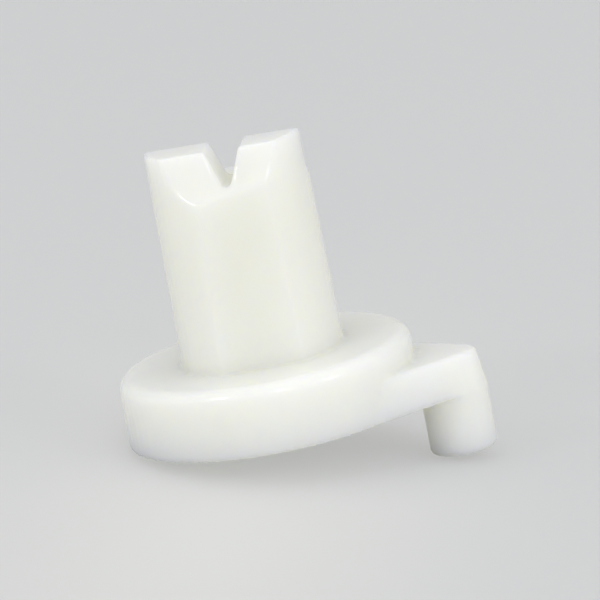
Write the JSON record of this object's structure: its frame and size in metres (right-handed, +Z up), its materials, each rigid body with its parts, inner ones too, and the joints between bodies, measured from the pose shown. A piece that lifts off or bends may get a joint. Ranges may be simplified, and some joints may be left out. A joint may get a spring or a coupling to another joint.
{
  "type": "refrigerator door closing cam",
  "caption": "Moulded plastic cam for a refrigerator door hinge: a round foot with a keyed, notched post and a side arm ending in a short locating pin.",
  "frame": {"origin": "centre of the round foot's underside, where the post's axis meets it", "axes": "+X from the post towards the pin, +Y away from the face with the flat, +Z up as the part rests; the post leans 11.44 degrees towards -X because the part rests on the foot's far edge and the end of the pin"},
  "size_m": [0.028, 0.022, 0.0244],
  "materials": {
    "cam": "natural ivory nylon, slightly translucent, satin to gloss as moulded"
  },
  "bodies": {
    "root": {"cam": "cam"}
  },
  "joints": []
}
